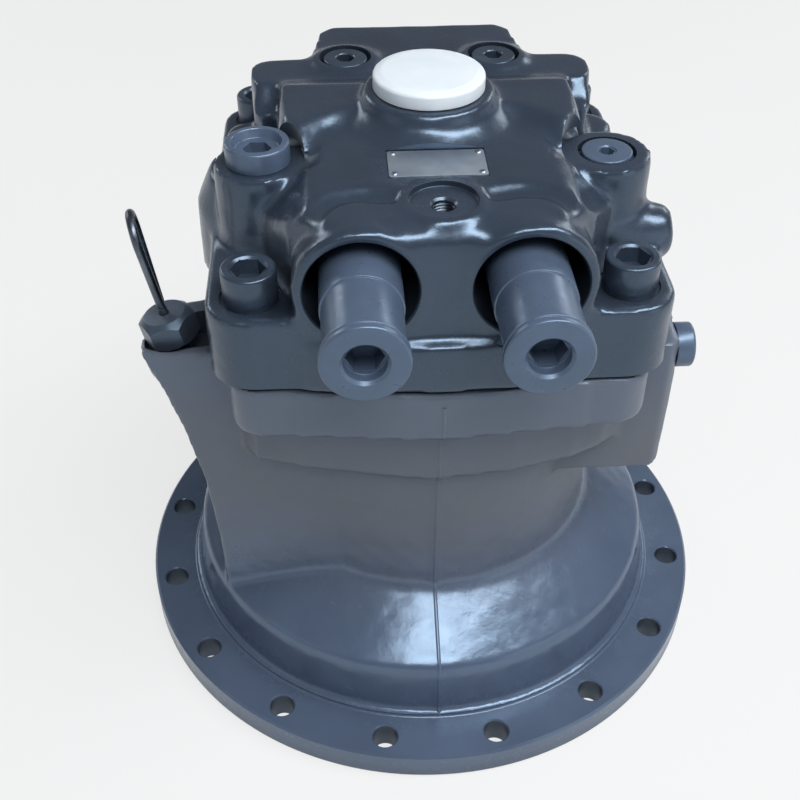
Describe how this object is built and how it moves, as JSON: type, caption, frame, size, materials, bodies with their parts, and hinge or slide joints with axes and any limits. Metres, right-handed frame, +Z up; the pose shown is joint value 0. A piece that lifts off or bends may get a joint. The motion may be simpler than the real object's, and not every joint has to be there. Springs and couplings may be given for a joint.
{
  "type": "hydraulic swing motor",
  "caption": "Axial-piston hydraulic swing motor: flanged cast casing, valve casing with two front relief valves, capped port, dipstick and working rotating group inside.",
  "frame": {"origin": "on the drive axis, in the flange's mounting face", "axes": "+Z up the drive axis to the valve casing, -Y to the front with the relief valves, +X to the drain plug"},
  "size_m": [0.4, 0.3998, 0.3931],
  "materials": {
    "painted_iron": "satin paint on rough sand-cast iron",
    "casing_iron": "dusty satin paint on sand-cast iron",
    "painted_steel": "satin paint on turned steel",
    "machined_steel": "turned steel",
    "ground_steel": "ground and hardened steel",
    "spring_steel": "oiled spring wire",
    "block_iron": "machined iron",
    "bearing_bronze": "machined bronze",
    "friction_paper": "paper friction lining on steel",
    "seal_rubber": "nitrile rubber",
    "plate_metal": "satin sheet metal",
    "white_plastic": "moulded polyethylene"
  },
  "bodies": {
    "root": {"casing": "casing_iron", "valve_casing": "painted_iron", "casing_seal": "seal_rubber", "casing_bolts": "painted_steel", "valve_plate": "ground_steel", "swash_plate": "machined_steel", "swash_dowels": "machined_steel", "shoe_plate": "ground_steel", "shaft_seal": "seal_rubber", "seal_retaining_ring": "machined_steel", "lower_bearing_cup": "ground_steel", "upper_bearing_cup": "ground_steel", "separator_plates": "machined_steel", "brake_springs": "spring_steel", "relief_valve_left": "painted_steel", "relief_valve_right": "painted_steel", "relief_seats": "machined_steel", "relief_spring_left": "spring_steel", "relief_spring_right": "spring_steel", "makeup_plugs": "painted_steel", "makeup_spring_left": "spring_steel", "makeup_spring_right": "spring_steel", "reaction_valve_plug": "painted_steel", "passage_plug": "painted_steel", "drain_plug": "painted_steel", "name_plate": "plate_metal", "name_plate_rivets": "plate_metal", "dipstick_fitting": "painted_steel"},
    "drive_shaft": {"drive_shaft": "machined_steel", "cylinder_block": "block_iron", "pistons": "ground_steel", "friction_plates": "friction_paper", "ball_guide": "machined_steel", "push_pins": "machined_steel", "block_spring": "spring_steel", "spring_washers": "machined_steel", "lower_bearing_cone": "ground_steel", "upper_bearing_cone": "ground_steel"},
    "lower_roller_set": {"lower_rollers": "ground_steel", "lower_cage": "machined_steel"},
    "upper_roller_set": {"upper_rollers": "ground_steel", "upper_cage": "machined_steel"},
    "shoe_ring": {"piston_shoes": "bearing_bronze", "retainer_plate": "machined_steel"},
    "brake_piston": {"brake_piston": "block_iron", "brake_piston_seals": "seal_rubber"},
    "relief_poppet_left": {"relief_poppet_left": "ground_steel"},
    "relief_poppet_right": {"relief_poppet_right": "ground_steel"},
    "makeup_poppet_left": {"makeup_poppet_left": "machined_steel"},
    "makeup_poppet_right": {"makeup_poppet_right": "machined_steel"},
    "dipstick": {"dipstick_rod": "spring_steel", "dipstick_loop": "spring_steel"},
    "port_cap": {"port_cap": "white_plastic"}
  },
  "joints": [
    {"name": "shaft_spin", "type": "hinge", "parent": "root", "child": "drive_shaft", "pos_m": [0, 0, 0.161], "axis": [0, 0, 1], "continuous": true, "deforming": ["pistons"]},
    {"name": "shoe_ring_spin", "type": "hinge", "parent": "root", "child": "shoe_ring", "pos_m": [0, 0, 0.161], "axis": [0, -0.2588, 0.9659], "continuous": true},
    {"name": "lower_roller_orbit", "type": "hinge", "parent": "root", "child": "lower_roller_set", "pos_m": [0, 0, 0.082], "axis": [0, 0, 1], "continuous": true},
    {"name": "upper_roller_orbit", "type": "hinge", "parent": "root", "child": "upper_roller_set", "pos_m": [0, 0, 0.281], "axis": [0, 0, 1], "continuous": true},
    {"name": "brake_release", "type": "slide", "parent": "root", "child": "brake_piston", "axis": [0, 0, 1], "range_m": [0, 0.0025], "stiffness_N_per_m": 20000, "springref_m": -0.005, "deforming": ["brake_springs"]},
    {"name": "relief_left_open", "type": "slide", "parent": "root", "child": "relief_poppet_left", "axis": [0, -1, 0], "range_m": [0, 0.0018], "stiffness_N_per_m": 2000, "springref_m": -0.01, "deforming": ["relief_spring_left"]},
    {"name": "relief_right_open", "type": "slide", "parent": "root", "child": "relief_poppet_right", "axis": [0, -1, 0], "range_m": [0, 0.0018], "stiffness_N_per_m": 2000, "springref_m": -0.01, "deforming": ["relief_spring_right"]},
    {"name": "makeup_left_open", "type": "slide", "parent": "root", "child": "makeup_poppet_left", "axis": [0, 0, 1], "range_m": [0, 0.005], "stiffness_N_per_m": 400, "springref_m": -0.004, "deforming": ["makeup_spring_left"]},
    {"name": "makeup_right_open", "type": "slide", "parent": "root", "child": "makeup_poppet_right", "axis": [0, 0, 1], "range_m": [0, 0.005], "stiffness_N_per_m": 400, "springref_m": -0.004, "deforming": ["makeup_spring_right"]},
    {"name": "dipstick_pull", "type": "slide", "parent": "root", "child": "dipstick", "axis": [-0.2079, 0, 0.9781], "range_m": [0, 0.26]},
    {"name": "port_cap_lift", "type": "slide", "parent": "root", "child": "port_cap", "axis": [0, 0, 1], "range_m": [0, 0.12]}
  ],
  "couplings": [
    {"joint": "shoe_ring_spin", "follows": "shaft_spin", "ratio": 1},
    {"joint": "lower_roller_orbit", "follows": "shaft_spin", "ratio": 0.438},
    {"joint": "upper_roller_orbit", "follows": "shaft_spin", "ratio": 0.43}
  ]
}
